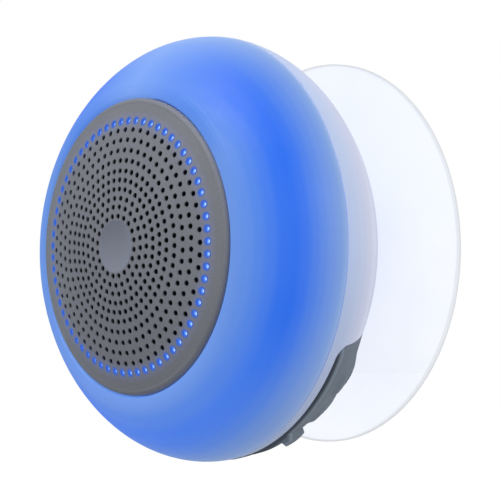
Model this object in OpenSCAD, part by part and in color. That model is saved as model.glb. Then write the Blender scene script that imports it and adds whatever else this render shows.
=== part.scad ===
// Shower speaker: a round lit housing that swivels on a clear suction cup.
// Origin: centre of the suction cup's sealing rim, which lies on the wall.
// +Y goes into the wall, the grille faces -Y, +Z is up. Millimetres.

/* [Housing] */
// Outside diameter at the seam
body_d = 100; // [80:1:120]
// Distance from the seam to the front curve's pole
front_bulge = 31.6; // [26:0.2:38]
// Roundness of the front curve, 2 is an ellipse
front_power = 1.96; // [1.7:0.02:2.4]
// Distance from the seam to the rear curve's pole
rear_bulge = 33.2; // [28:0.2:40]
// Roundness of the rear curve, 2 is an ellipse
rear_power = 1.85; // [1.6:0.02:2.4]
// Wall thickness of both shells
wall = 2.2; // [1.6:0.1:3]
// Distance from the seam to the flat back
flat_back = 28; // [26:0.5:30]
// Distance from the seam to the wall the cup sits on
seam_to_wall = 39; // [36:0.5:44]
// Width of the seam between the shells
seam_gap = 0.4; // [0.2:0.1:1]

/* [Grille] */
// Radius of the grille's outline
grille_r = 34.3; // [30:0.1:38]
// Distance from the seam to the grille's edge
grille_edge = 21.3; // [19:0.1:23]
// Height of the grille's dome
grille_rise = 5.1; // [3:0.1:7]
// Thickness of the grille
grille_wall = 1.8; // [1.2:0.1:2.5]
// Radius of the dimple in the centre
dimple_r = 6; // [4:0.1:7]
// Depth of the dimple
dimple_depth = 1.1; // [0.4:0.1:1.4]
// Diameter of the sound holes
hole_d = 1.3; // [0.8:0.05:1.4]
// Number of lit dots in the outermost ring
lit_count = 65; // [40:1:72]
// Radius of the ring of lit dots
lit_r = 29; // [28:0.1:30]

/* [Suction cup] */
// Radius of the cup's rim
cup_r = 46.3; // [40:0.1:50]
// Width of the flat sealing rim
cup_seal = 1.4; // [1:0.1:3]
// Radius of the cup's neck in its bearing
neck_r = 5; // [4:0.1:6]
// Running clearance of the neck
neck_clear = 0.08; // [0.05:0.01:0.1]

/* [Controls] */
// Half the angle that the control strip covers round the bottom
pad_half = 61.5; // [50:0.5:70]
// Distance from the seam to the strip's front edge
pad_front = 3; // [2:0.1:5]
// Distance from the seam to the strip's rear edge
pad_rear = 20.5; // [18:0.5:22]
// Height of the strip over the shell
pad_proud = 0.5; // [0.2:0.1:1]
// Height of the keys over the shell
key_proud = 1.4; // [1:0.1:2]
// Travel of a key
key_travel = 0.6; // [0.3:0.1:0.8]
// Width of a key round the body
key_w = 7.8; // [6:0.1:9]
// Length of a key along the body
key_l = 9; // [7:0.1:10]
// Height of the charging port cover over the shell
cover_proud = 0.9; // [0.6:0.1:1.4]
// Height of the cover's pull tab over the shell
tab_proud = 2.1; // [1.4:0.1:3]

/* [Hidden] */
$fn = 64;
body_r = body_d / 2;
steps = 26;
bottom = 270;
// sound hole rings from the centre out: radius, holes, start angle
hole_rings = [
    [6.9, 20, -8.4], [9, 25, -4.6], [11, 30, -2.4], [13.1, 40, -3.8], [15.2, 45, -0.4],
    [17.3, 50, 2.1], [19.7, 55, -1.9], [22.1, 55, 2], [24.5, 60, 2.2], [26.9, 60, -0.4]
];
// keys round the bottom, as angles from straight down
key_at = [49, 36.5, 0, -36.5, -49];
key_y = 12.8;
port_at = 21.5;
port_y = 7;
cover_l = 14.4;
cover_w = 6.4;
tab_shift = 4.95;
tab_l = 3.7;
mic_at = -22;
// grille dome
dome_r = (grille_r * grille_r + grille_rise * grille_rise) / (2 * grille_rise);
dome_y = dome_r - grille_edge - grille_rise;
dimple_sphere = (dimple_r * dimple_r + dimple_depth * dimple_depth) / (2 * dimple_depth);
dimple_y = dome_y - sqrt(dome_r * dome_r - dimple_r * dimple_r) + dimple_depth - dimple_sphere;
bore_r = grille_r + 0.3;
ledge_r = 31.2;
ledge_front = -16.4;
ledge_back = -14.4;
// inner frame
plate_front = -9;
plate_back = -7;
plate_r = 41.5;
pillar_r = 38.5;
post_r = 30;
post_split = 8;
well_floor = 18.2;
board_y = 12;
board_t = 1.2;
board_post = 22.9;
// keypad pocket, as heights over the outer surface
pocket = -2.2;
pocket_floor = -4;
strip_from = pad_front + 0.45;
strip_to = pad_rear - 0.45;
// cup
cup_edge = 0.9;
cup_front_r = 132;
cup_back_r = 165;
cup_front_y = seam_to_wall - cup_edge - cup_front_r + sqrt(cup_front_r * cup_front_r - cup_r * cup_r);
cup_inner = cup_r - cup_seal;
cup_back_y = seam_to_wall - cup_back_r + sqrt(cup_back_r * cup_back_r - cup_inner * cup_inner);

// radius of the outer surface, drawn in by t, at distance y from the seam
function shell_r(y, t = 0) = y < 0
    ? (body_r - t) * pow(1 - pow(-y / (front_bulge - t), front_power), 1 / front_power)
    : (body_r - t) * pow(1 - pow(y / (rear_bulge - t), rear_power), 1 / rear_power);
// lean of the rear surface at y
function lean(y) = atan(pow(y / rear_bulge, rear_power - 1) * body_r / rear_bulge
    * pow(shell_r(y) / body_r, 1 - rear_power));
// point h over the rear surface at y
function over(y, h) = [shell_r(y) + h * cos(lean(y)), y + h * sin(lean(y))];
function span(a, b, n) = [for (i = [0:n]) a + (b - a) * i / n];
function back(v) = [for (i = [len(v) - 1:-1:0]) v[i]];

// moves from the seam's frame to the wall's frame
module from_seam() {
    translate([0, -seam_to_wall, 0]) children();
}

// turns a drawn section [radius, distance from the seam] round the Y axis
module turn() {
    from_seam() rotate([-90, 0, 0]) rotate_extrude($fn = 180) children();
}

// turns a section only between two angles round the body
module turn_part(from, to) {
    from_seam() rotate([0, -to, 0]) rotate([-90, 0, 0])
        rotate_extrude(angle = to - from, $fn = 180) children();
}

// a flat outline [x, z] pushed along Y between two distances from the seam
module turn_at(x, z, a, b) {
    from_seam() translate([x, b, z]) rotate([90, 0, 0]) linear_extrude(height = b - a) children();
}

// children's +X points straight out of the surface, +Y leans back along it
module on_surface(angle, y) {
    from_seam() rotate([0, -angle, 0]) translate([shell_r(y), y, 0]) rotate([0, 0, lean(y)]) children();
}

// a block with round corners standing on the surface, l round the body and w along it
module pill(l, w, corner, low, high) {
    translate([low, 0, 0]) rotate([0, 90, 0]) linear_extrude(height = high - low) union() {
        square([l - 2 * corner, w], center = true);
        square([l, w - 2 * corner], center = true);
        for (x = [-1, 1])
            for (y = [-1, 1])
                translate([x * (l / 2 - corner), y * (w / 2 - corner)]) circle(r = corner, $fn = 24);
    }
}

// a band that follows the rear surface between two heights
module band(from, to, front, rear, low, high) {
    ys = span(front, rear, 14);
    turn_part(from, to) polygon(concat([for (y = ys) over(y, high)], back([for (y = ys) over(y, low)])));
}

// a thin lead along a list of points
module lead(points, r) {
    for (i = [0:len(points) - 2]) {
        a = points[i];
        b = points[i + 1];
        d = b - a;
        from_seam() translate(a) rotate([0, acos(d[2] / norm(d)), atan2(d[1], d[0])])
            cylinder(r = r, h = norm(d), $fn = 24);
        from_seam() translate(b) sphere(r = r + 0.04, $fn = 24);
    }
}

// round countersink-free screw: head towards the wall, shank towards the front
module screw(x, z, seat, head_r, head_h, shank_r, shank_l) {
    difference() {
        union() {
            turn_at(x, z, seat, seat + head_h) circle(r = head_r, $fn = 32);
            turn_at(x, z, seat - shank_l, seat) circle(r = shank_r, $fn = 24);
        }
        turn_at(x, z, seat + head_h * 0.4, seat + head_h + 1) square([head_r * 1.2, 0.5], center = true);
        turn_at(x, z, seat + head_h * 0.4, seat + head_h + 1) square([0.5, head_r * 1.2], center = true);
    }
}

module suction_cup() {
    color([0.88, 0.93, 0.97, 0.35]) turn() difference() {
        union() {
            // dome and rim
            intersection() {
                translate([0, cup_front_y + cup_front_r]) circle(r = cup_front_r, $fn = 360);
                translate([0, 20]) square([cup_r, seam_to_wall - 20]);
                translate([0, 28]) square([cup_r, 20]);
            }
            translate([cup_r - 0.5, seam_to_wall - 0.6]) circle(r = 0.5, $fn = 24);
            // shoulder, neck and head
            polygon([
                [0, flat_back + 0.4], [9.4, flat_back + 0.4], [10, flat_back + 1], [10.6, 31.5], [0, 31.5]
            ]);
            translate([0, 22]) square([neck_r, flat_back - 21]);
            polygon([[0, 20.2], [4.6, 20.2], [6, 20.8], [7.6, 22.8], [7.6, 23.4], [0, 23.4]]);
        }
        // hollow under the dome
        intersection() {
            translate([0, cup_back_y + cup_back_r]) circle(r = cup_back_r, $fn = 360);
            square([cup_inner + 0.01, 60]);
        }
        translate([-60, 0]) square([60, 60]);
        translate([0, seam_to_wall]) square([60, 10]);
    }
}

module cup_bearing() {
    bore = neck_r + neck_clear;
    color([0.55, 0.57, 0.6]) turn() polygon([
        [bore, 24], [10.3, 24], [10.3, 25.7], [8.95, 25.7], [8.95, flat_back], [bore, flat_back]
    ]);
}

// outline of the control strip's pocket as a thick band
module strip_blank(low, high, slack) {
    difference() {
        band(bottom - pad_half - slack, bottom + pad_half + slack, pad_front, pad_rear, low, high);
        strip_corners(pad_half + slack, pad_front, pad_rear, 3.2);
    }
}

// rounds the strip's four corners
module strip_corners(half, front, rear, corner) {
    for (s = [-1, 1]) {
        strip_corner(bottom + s * half, front, corner, s, 1);
        strip_corner(bottom + s * half, rear, corner, s, -1);
    }
}

// what rounds one corner of the strip: dx and dy point into the strip
module strip_corner(angle, y, corner, dx, dy) {
    c = corner;
    on_surface(angle, y) rotate([0, 90, 0]) translate([0, 0, -8]) linear_extrude(height = 16) polygon([
        [-dx, -dy], [c * 1.9 * dx, -dy], [c * 0.617 * dx, c * 0.076 * dy], [c * 0.293 * dx, c * 0.293 * dy],
        [c * 0.076 * dx, c * 0.617 * dy], [-dx, c * 1.9 * dy]
    ]);
}

module rear_shell() {
    outer = span(seam_gap / 2, 26.5, steps);
    inner = span(seam_gap / 2, flat_back - wall, steps);
    color([0.8, 0.82, 0.9]) difference() {
        union() {
            turn() polygon(concat(
                [for (y = outer) [shell_r(y), y]],
                [[26.6, 27.3], [25, 27.8], [23, flat_back], [9.05, flat_back], [9.05, flat_back - wall]],
                back([for (y = inner) [shell_r(y, wall), y]])
            ));
            // tongue inside the front shell
            turn() polygon([[45.8, 3], [47.9, 3], [47.2, 0.5], [47.2, -4], [46, -4], [46, 0.5]]);
            // closed well round the cup's head
            turn() polygon([[10.5, 26], [12, 26], [12, 17.6], [0, 17.6], [0, 18.8], [10.5, 18.8]]);
            // floor under the control strip
            band(bottom - pad_half - 2.5, bottom + pad_half + 2.5, 1.6, 22.5, pocket_floor, -1.6);
            for (a = [45:90:315])
                shell_post(post_r * cos(a), post_r * sin(a));
        }
        strip_blank(pocket, 6, 0.2);
        for (a = [45:90:315]) {
            turn_at(post_r * cos(a), post_r * sin(a), well_floor, 40) circle(r = 3, $fn = 32);
            turn_at(post_r * cos(a), post_r * sin(a), 0, 40) circle(r = 1.5, $fn = 24);
        }
        on_surface(bottom + port_at, port_y) pill(10, 4, 1.2, -8, 2);
        on_surface(bottom + mic_at, port_y) rotate([0, 90, 0]) translate([0, 0, -8])
            cylinder(r = 0.6, h = 10, $fn = 24);
        // slit for the key circuit's tail
        from_seam() rotate([0, -(bottom - 10), 0]) translate([38, 12.1, -2.4]) cube([10, 0.8, 4.8]);
    }
}

// well and post for one long screw, cut to the shell's own outline
module shell_post(x, z) {
    intersection() {
        union() {
            turn_at(x, z, 16.6, 40) circle(r = 4.4, $fn = 32);
            turn_at(x, z, post_split + 0.2, 20) circle(r = 3.4, $fn = 32);
        }
        turn() polygon(concat([[0, 0]], [for (y = span(0, 26.5, steps)) [shell_r(y, 0.6), y]], [[0, 27]]));
    }
}

module front_diffuser() {
    outer = span(-seam_gap / 2, -20.3, steps);
    inner = span(-seam_gap / 2, ledge_back, 18);
    color([0.35, 0.55, 0.98]) difference() {
        union() {
            turn() polygon(concat(
                [for (y = outer) [shell_r(y), y]],
                [[37.1, -20.75], [36.3, -21.05], [35.5, -21.2], [34.95, -21.15], [bore_r, -20.85],
                    [bore_r, ledge_front], [ledge_r, ledge_front], [ledge_r, ledge_back]],
                back([for (y = inner) [shell_r(y, wall - 0.2), y]])
            ));
            for (a = [0:90:270])
                turn_at(pillar_r * cos(a), pillar_r * sin(a), ledge_back - 1, plate_front)
                    circle(r = 2.6, $fn = 32);
        }
        for (a = [0:90:270])
            turn_at(pillar_r * cos(a), pillar_r * sin(a), -14, plate_front + 1) circle(r = 1.15, $fn = 24);
    }
}

module seam_seal() {
    color([0.5, 0.52, 0.58]) turn() translate([48.3, -seam_gap / 2]) square([1.2, seam_gap]);
}

module grille_panel() {
    rim = 1.3;
    rim_y = dome_y - sqrt(dome_r * dome_r - (grille_r - rim) * (grille_r - rim)) + rim;
    color([0.47, 0.48, 0.49]) difference() {
        union() {
            // dome
            intersection() {
                difference() {
                    dome_ball(dome_r);
                    dome_ball(dome_r - grille_wall);
                }
                turn_at(0, 0, -30, -10) circle(r = grille_r - rim);
            }
            // rolled edge and skirt
            turn() difference() {
                union() {
                    translate([grille_r - rim, rim_y]) circle(r = rim, $fn = 48);
                    translate([grille_r - 1.6, rim_y]) square([1.6, ledge_front - 0.1 - rim_y]);
                }
            }
            // backing of the dimple
            turn_at(0, 0, -25.1, -23.7) circle(r = 5.8);
        }
        from_seam() translate([0, dimple_y, 0]) sphere(r = dimple_sphere, $fn = 180);
        for (ring = hole_rings)
            for (i = [0:ring[1] - 1])
                dome_rod(ring[0], ring[2] + i * 360 / ring[1], hole_d, -grille_wall - 1, 1);
        for (i = [0:lit_count - 1])
            dome_rod(lit_r, i * 360 / lit_count, hole_d, -grille_wall - 1, 1);
    }
}

// the ball that the grille's dome is cut from
module dome_ball(r) {
    from_seam() translate([0, dome_y, 0]) rotate([-90, 0, 0]) sphere(r = r, $fn = 240);
}

// a rod square to the grille's dome between two heights over it
module dome_rod(r, angle, d, low, high) {
    from_seam() translate([0, dome_y, 0]) rotate([0, -angle, 0]) rotate([0, 0, asin(r / dome_r) - 90])
        rotate([0, 90, 0]) translate([0, 0, dome_r + low]) cylinder(d = d, h = high - low, $fn = 20);
}

module grille_mesh() {
    color([0.12, 0.12, 0.13]) turn() intersection() {
        difference() {
            translate([0, dome_y]) circle(r = dome_r - grille_wall - 0.15, $fn = 360);
            translate([0, dome_y]) circle(r = dome_r - grille_wall - 0.45, $fn = 360);
        }
        translate([6.8, -40]) square([20.3, 30]);
    }
}

module light_guide() {
    color([0.75, 0.88, 1]) {
        turn() translate([27.6, -20.2]) square([3.4, 2.2]);
        for (i = [0:lit_count - 1])
            dome_rod(lit_r, i * 360 / lit_count, hole_d - 0.1, -3, -0.5);
    }
}

module inner_frame() {
    color([0.16, 0.16, 0.17]) difference() {
        union() {
            turn() translate([20.6, plate_front]) square([plate_r - 20.6, plate_back - plate_front]);
            for (a = [45:90:315])
                turn_at(post_r * cos(a), post_r * sin(a), plate_back - 1, post_split)
                    circle(r = 3.2, $fn = 32);
            for (a = [160, 340])
                turn_at(board_post * cos(a), board_post * sin(a), plate_back - 1, board_y)
                    circle(r = 2.2, $fn = 32);
            // stiffening ring
            turn() translate([34.4, plate_back - 0.5]) square([1.4, 4]);
        }
        for (a = [45:90:315])
            turn_at(post_r * cos(a), post_r * sin(a), -3, post_split + 1) circle(r = 1.3, $fn = 24);
        for (a = [0:90:270])
            turn_at(pillar_r * cos(a), pillar_r * sin(a), plate_front - 1, plate_back + 1)
                circle(r = 1.4, $fn = 24);
        for (a = [160, 340])
            turn_at(board_post * cos(a), board_post * sin(a), 5, board_y + 1) circle(r = 1.15, $fn = 24);
        // slot for the lamp ribbon
        from_seam() rotate([0, -200, 0]) translate([22.9, plate_front - 1, -3.5]) cube([2.4, 6, 7]);
    }
}

module speaker_gasket() {
    color([0.1, 0.1, 0.1]) turn() translate([19.7, -11.4]) square([2.8, 0.8]);
}

module speaker_basket() {
    color([0.3, 0.31, 0.33]) difference() {
        turn() polygon([
            [19.6, -10.6], [22.5, -10.6], [22.5, plate_front], [20.4, plate_front], [20, -6.5], [14, -2],
            [14, 0], [11.6, 0], [11.6, -0.8], [13.2, -0.8], [13.2, -2.3], [19.2, -6.9], [19.6, -9]
        ]);
        for (a = [45:90:315])
            from_seam() rotate([0, -a, 0]) translate([11, -6.2, -4.5]) cube([12, 3.6, 9]);
    }
}

module speaker_magnet() {
    color([0.2, 0.2, 0.22]) turn() translate([10.6, 2.4]) square([6.4, 6]);
}

module speaker_top_plate() {
    color([0.7, 0.7, 0.7]) turn() translate([9.15, 0]) square([6, 2.4]);
}

module speaker_yoke() {
    color([0.68, 0.68, 0.7]) turn() polygon([
        [0, -0.2], [7.8, -0.2], [7.8, 8.4], [15.2, 8.4], [15.2, 10.4], [14.6, 11], [0, 11]
    ]);
}

module speaker_terminals() {
    color([0.85, 0.7, 0.35]) for (s = [-1, 1])
        from_seam() rotate([0, -20, 0]) translate([20.05, -6.4, s * 2 - 0.9]) cube([0.8, 5.4, 1.8]);
}

module speaker_surround() {
    color([0.08, 0.08, 0.08]) turn() union() {
        intersection() {
            difference() {
                translate([17.6, -9.3]) circle(r = 1.75, $fn = 48);
                translate([17.6, -9.3]) circle(r = 1.35, $fn = 48);
            }
            translate([15, -12]) square([6, 2.7]);
        }
        translate([19, -9.3]) square([0.55, 0.4]);
        translate([15.5, -9.3]) square([0.75, 0.4]);
    }
}

module speaker_spider() {
    color([0.8, 0.65, 0.35]) turn() polygon([
        [8.5, -2], [9.2, -2.5], [10, -1.5], [10.8, -2.5], [11.6, -1.5], [12.4, -2.1], [13.15, -1.9],
        [13.15, -1.6], [12.3, -1.7], [11.6, -1.15], [10.8, -2.15], [10, -1.15], [9.2, -2.15], [8.5, -1.7]
    ]);
}

module speaker_cone() {
    color([0.14, 0.14, 0.15]) turn() polygon([
        [8.45, -3.4], [8.45, -3], [15.3, -8.4], [15.9, -8.5], [15.9, -8.9], [15.1, -8.9]
    ]);
}

module dust_cap() {
    color([0.1, 0.1, 0.1]) turn() intersection() {
        difference() {
            translate([0, 6.6]) circle(r = 13, $fn = 120);
            translate([0, 6.6]) circle(r = 12.7, $fn = 120);
        }
        translate([0, -8]) square([8.35, 5]);
    }
}

module voice_coil() {
    color([0.75, 0.45, 0.25]) turn() polygon([
        [8.15, -2.9], [8.4, -2.9], [8.4, -0.5], [8.8, -0.5], [8.8, 2.8], [8.15, 2.8]
    ]);
}

module led_board() {
    color([0.9, 0.92, 0.9]) turn() translate([26, plate_front - 1]) square([9.5, 1]);
}

module led_lamps() {
    color([1, 1, 0.85]) for (a = [15:30:345])
        from_seam() rotate([0, -a, 0]) translate([29.3, plate_front - 2.4, -1.6]) cube([3.2, 1.4, 3.2]);
}

module main_board() {
    color([0.05, 0.35, 0.2]) difference() {
        turn_at(0, 0, board_y, board_y + board_t) circle(r = 26, $fn = 120);
        for (a = [45:90:315])
            turn_at(post_r * cos(a), post_r * sin(a), board_y - 1, board_y + 4) circle(r = 6.2, $fn = 48);
        for (a = [160, 340])
            turn_at(board_post * cos(a), board_post * sin(a), board_y - 1, board_y + 4)
                circle(r = 1.3, $fn = 24);
    }
}

module board_chips() {
    top = board_y + board_t;
    color([0.1, 0.1, 0.11]) {
        from_seam() translate([-4, top, -14]) cube([7, 1.1, 7]);
        from_seam() translate([6, top, -12]) cube([5, 1, 5]);
        from_seam() translate([-12, top, -13]) cube([4, 1, 5]);
        from_seam() translate([-3, top, -22]) cube([8, 1.6, 4]);
        from_seam() translate([7, top, -20]) cube([3, 2, 3]);
        turn_at(-8, -19, top, top + 3.6) circle(r = 2.2, $fn = 32);
        turn_at(13, -14, top, top + 3.6) circle(r = 2.2, $fn = 32);
    }
}

module battery() {
    color([0.75, 0.77, 0.8]) from_seam() translate([-16, 14.5, 13.5]) cube([32, 5.5, 16]);
}

module battery_foam() {
    top = board_y + board_t;
    color([0.2, 0.2, 0.2]) from_seam() translate([-13, top, 14]) cube([26, 14.5 - top, 10]);
}

module speaker_leads() {
    color([0.7, 0.1, 0.1]) for (s = [-1, 1])
        rotate([0, -20, 0]) lead([
            [20.4, -0.9, s * 2], [20.6, 3, s * 1.9], [20.3, 9, s * 1.6], [20.2, 11.4, s * 1.6]
        ], 0.55);
}

module battery_leads() {
    color([0.1, 0.1, 0.1]) for (s = [0, 1])
        lead([
            [16.6, 17 + s * 1.4, 15.6 - s * 1.6], [18.2, 15.6 + s * 0.8, 11 - s * 2], [18, 13.8, 9 - s * 2.6]
        ], 0.5);
}

module led_ribbon() {
    color([0.85, 0.5, 0.15]) from_seam() rotate([0, -200, 0]) union() {
        translate([23.9, plate_front - 0.8, -2.5]) cube([0.4, board_y - plate_front + 0.8, 5]);
        translate([23.9, plate_front - 0.8, -2.5]) cube([1.9, 0.4, 5]);
    }
}

// height of the control strip over the shell at y
function strip_h(y) = pad_proud * min(1, 0.1 + (y - strip_from) / 3, 0.3 + (strip_to - y) / 3);

module control_strip() {
    ys = span(strip_from, strip_to, 14);
    color([0.37, 0.43, 0.48]) difference() {
        turn_part(bottom - pad_half + 0.3, bottom + pad_half - 0.3)
            polygon(concat([for (y = ys) over(y, strip_h(y))], back([for (y = ys) over(y, -1.9)])));
        strip_corners(pad_half - 0.3, strip_from, strip_to, 2.9);
        for (k = key_at)
            on_surface(bottom + k, key_y) pill(key_w + 0.6, key_l + 0.6, 2.3, -6, 6);
        on_surface(bottom + port_at, port_y) pill(cover_l + 0.6, cover_w + 0.6, 1.8, -6, 6);
        on_surface(bottom + mic_at, port_y) rotate([0, 90, 0]) translate([0, 0, -6])
            cylinder(r = 0.6, h = 12, $fn = 24);
    }
}

module key_circuit() {
    color([0.8, 0.5, 0.15]) {
        band(bottom - 56, bottom + 56, 10.6, 15.4, pocket + 0.04, pocket + 0.2);
        // tail to the main board
        from_seam() rotate([0, -(bottom - 10), 0]) translate([26.2, 12.4, -2]) cube([16.62, 0.2, 4]);
    }
}

module key_domes() {
    color([0.8, 0.8, 0.82]) for (k = key_at)
        on_surface(bottom + k, key_y) rotate([0, 90, 0]) translate([0, 0, pocket + 0.24])
            cylinder(r1 = 2.3, r2 = 1.6, h = 0.3, $fn = 32);
}

// one key, k degrees from straight down
module key(k) {
    color([0.4, 0.46, 0.51]) union() {
        intersection() {
            on_surface(bottom + k, key_y) pill(key_w, key_l, 2, -3, 5);
            band(bottom + k - 8, bottom + k + 8, 6, 20, -0.6, key_proud);
        }
        on_surface(bottom + k, key_y) rotate([0, 90, 0]) translate([0, 0, -1.05])
            cylinder(r = 1.5, h = 1, $fn = 32);
    }
}

module key_call() {
    key(key_at[4]);
}

module key_previous() {
    key(key_at[3]);
}

module key_play() {
    key(key_at[2]);
}

module key_next() {
    key(key_at[1]);
}

module key_light() {
    key(key_at[0]);
}

module port_cover() {
    color([0.38, 0.44, 0.49]) union() {
        intersection() {
            on_surface(bottom + port_at, port_y) pill(cover_l, cover_w, 1.5, -4, 5);
            band(bottom + port_at - 12, bottom + port_at + 12, 1, 14, -1.2, cover_proud);
        }
        // pull tab
        intersection() {
            on_surface(bottom + port_at, port_y) translate([0, 0, tab_shift])
                pill(tab_l, cover_w - 0.6, 1, -0.5, 6);
            band(bottom + port_at - 12, bottom + port_at + 12, 1, 14, -0.5, tab_proud);
        }
        // plug
        on_surface(bottom + port_at, port_y) pill(8, 2.6, 1.1, -3.6, -0.8);
    }
}

module usb_connector() {
    color([0.8, 0.81, 0.83]) on_surface(bottom + port_at, port_y) union() {
        difference() {
            pill(9, 3.3, 1.5, -11.7, -4.2);
            pill(8.3, 2.6, 1.2, -10.9, -4);
        }
        translate([-11, -0.35, -3.2]) cube([5.6, 0.7, 6.4]);
    }
}

module port_board() {
    color([0.05, 0.35, 0.2]) on_surface(bottom + port_at, port_y) translate([-14, 1.65, -6])
        cube([9, 1, 12]);
}

module microphone() {
    color([0.75, 0.76, 0.78]) on_surface(bottom + mic_at, port_y) rotate([0, 90, 0]) translate([0, 0, -6.4])
        cylinder(r = 2, h = 2.2, $fn = 48);
}

module short_screws() {
    color([0.6, 0.6, 0.62]) {
        for (a = [0:90:270])
            screw(pillar_r * cos(a), pillar_r * sin(a), plate_back, 2.2, 1.6, 1.1, 6);
        for (a = [160, 340])
            screw(board_post * cos(a), board_post * sin(a), board_y + board_t, 2.2, 1.6, 1.1, 6);
    }
}

module long_screws() {
    color([0.6, 0.6, 0.62]) for (a = [45:90:315])
        screw(post_r * cos(a), post_r * sin(a), well_floor, 2.4, 1.8, 1.25, 18);
}

suction_cup();
cup_bearing();
rear_shell();
front_diffuser();
seam_seal();
grille_panel();
grille_mesh();
light_guide();
inner_frame();
speaker_gasket();
speaker_basket();
speaker_magnet();
speaker_top_plate();
speaker_yoke();
speaker_terminals();
speaker_surround();
speaker_spider();
speaker_cone();
dust_cap();
voice_coil();
led_board();
led_lamps();
main_board();
board_chips();
battery();
battery_foam();
speaker_leads();
battery_leads();
led_ribbon();
control_strip();
key_circuit();
key_domes();
key_call();
key_previous();
key_play();
key_next();
key_light();
port_cover();
usb_connector();
port_board();
microphone();
short_screws();
long_screws();
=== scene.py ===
import math

import bpy
import numpy as np
from mathutils import Matrix, Vector


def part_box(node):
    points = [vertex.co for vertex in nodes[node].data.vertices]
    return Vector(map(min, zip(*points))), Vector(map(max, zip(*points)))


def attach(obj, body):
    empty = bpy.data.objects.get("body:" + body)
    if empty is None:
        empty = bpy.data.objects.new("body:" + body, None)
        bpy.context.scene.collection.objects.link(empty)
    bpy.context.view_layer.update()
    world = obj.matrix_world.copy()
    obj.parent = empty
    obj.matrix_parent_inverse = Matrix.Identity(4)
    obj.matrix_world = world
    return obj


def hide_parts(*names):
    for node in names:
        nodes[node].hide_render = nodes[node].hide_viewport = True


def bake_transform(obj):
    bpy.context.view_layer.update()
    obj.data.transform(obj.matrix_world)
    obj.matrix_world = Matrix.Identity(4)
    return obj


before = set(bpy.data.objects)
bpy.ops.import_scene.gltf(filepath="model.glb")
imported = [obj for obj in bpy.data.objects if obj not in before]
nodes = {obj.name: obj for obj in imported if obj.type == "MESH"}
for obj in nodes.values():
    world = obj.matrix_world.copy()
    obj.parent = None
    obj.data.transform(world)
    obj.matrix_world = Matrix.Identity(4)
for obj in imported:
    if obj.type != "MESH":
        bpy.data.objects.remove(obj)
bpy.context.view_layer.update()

# Lengths are in millimetres and angles in degrees, unless a comment says otherwise.
MM = 0.001

# ---------------------------------------------------------------- places from the CAD
# y counts from the seam between the two shells, towards the wall
seal_low, seal_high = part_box("seam_seal")
SEAM = (seal_low.y + seal_high.y) / 2  # in metres
BODY_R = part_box("front_diffuser")[1].x / MM
CUP_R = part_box("suction_cup")[1].x / MM
DIFFUSER_FRONT = -21.6

# the rear shell's side is part of a superellipse
REAR_BULGE = 33.2
REAR_POWER = 1.85

# the grille's dome, and the ring of lit dots in it
GRILLE_EDGE_R = 34.3
GRILLE_EDGE_Y = -21.3
GRILLE_RISE = 5.1
DOME_R = (GRILLE_EDGE_R ** 2 + GRILLE_RISE ** 2) / (2 * GRILLE_RISE)
DOME_TOP = GRILLE_EDGE_Y - GRILLE_RISE
DIMPLE_R = 6.0
LIT_R = 29.0
LIT_COUNT = 65

# what the control strip carries, at angles from straight down
KEYS = {"key_light": 49.0, "key_next": 36.5, "key_play": 0.0, "key_previous": -36.5, "key_call": -49.0}
KEY_Y = 12.8
PORT_AT = 21.5
MIC_AT = -22.0
PORT_Y = 7.0  # for the port and the microphone's hole


def shell_r(y):
    """Radius of the rear shell's surface at y."""
    return BODY_R * (1 - (np.abs(y) / REAR_BULGE) ** REAR_POWER) ** (1 / REAR_POWER)


def lean(y):
    """Angle in radians by which the rear surface's normal leans towards the wall at y."""
    depth = (y / REAR_BULGE) ** (REAR_POWER - 1)
    width = (shell_r(y) / BODY_R) ** (1 - REAR_POWER)
    return np.arctan(depth * BODY_R / REAR_BULGE * width)


def over(angle, y, h):
    """Points in metres at height h over the rear surface, angle counted from straight down."""
    turn = np.radians(angle + 270.0)
    r = shell_r(y) + h * np.cos(lean(y))
    depth = y + h * np.sin(lean(y))
    return np.stack([r * np.cos(turn) * MM, depth * MM + SEAM, r * np.sin(turn) * MM], -1)


# y against the length along the surface from the seam
Y_TABLE = np.linspace(0.02, 24, 1200)
Y_LENGTHS = np.diff(Y_TABLE) / np.cos(lean((Y_TABLE[1:] + Y_TABLE[:-1]) / 2))
S_TABLE = np.concatenate([[0], np.cumsum(Y_LENGTHS)])


def along(y):
    """Length along the surface from the seam to y."""
    return np.interp(y, Y_TABLE, S_TABLE)


def y_at(s):
    """The y at a length along the surface from the seam."""
    return np.interp(s, S_TABLE, Y_TABLE)


# ---------------------------------------------------------------- outlines and edges
def smooth(a, b, x):
    """A soft step, 0 at a and 1 at b."""
    t = np.clip((x - a) / (b - a), 0, 1)
    return t * t * (3 - 2 * t)


def round_box(t, s, half_t, half_s, corner):
    """Distance outside a rectangle with round corners, negative inside."""
    qt = np.abs(t) - (half_t - corner)
    qs = np.abs(s) - (half_s - corner)
    return np.hypot(np.maximum(qt, 0), np.maximum(qs, 0)) + np.minimum(np.maximum(qt, qs), 0) - corner


def edge_fall(distance, radius):
    """How far a quarter-round edge has fallen, 1 at the edge and 0 from the radius inwards."""
    near = 1 - np.clip(distance / radius, 0, 1)
    return 1 - np.sqrt(np.clip(1 - near ** 2, 0, 1))


def corner_cut(distance, corner):
    """How much a round corner takes off the side, at a distance from the end."""
    distance = np.clip(distance, 0, corner)
    return corner - np.sqrt(np.maximum(0, corner ** 2 - (corner - distance) ** 2))


def corner_steps(half, corner, at_corner, between):
    """Values from -half to half, closer together at the round corners."""
    e = corner * (1 - np.cos(np.linspace(0, math.pi / 2, at_corner + 1)[:-1]))
    middle = np.linspace(-half + corner, half - corner, between)
    return np.concatenate([-half + e, middle, (half - e)[::-1]])


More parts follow.
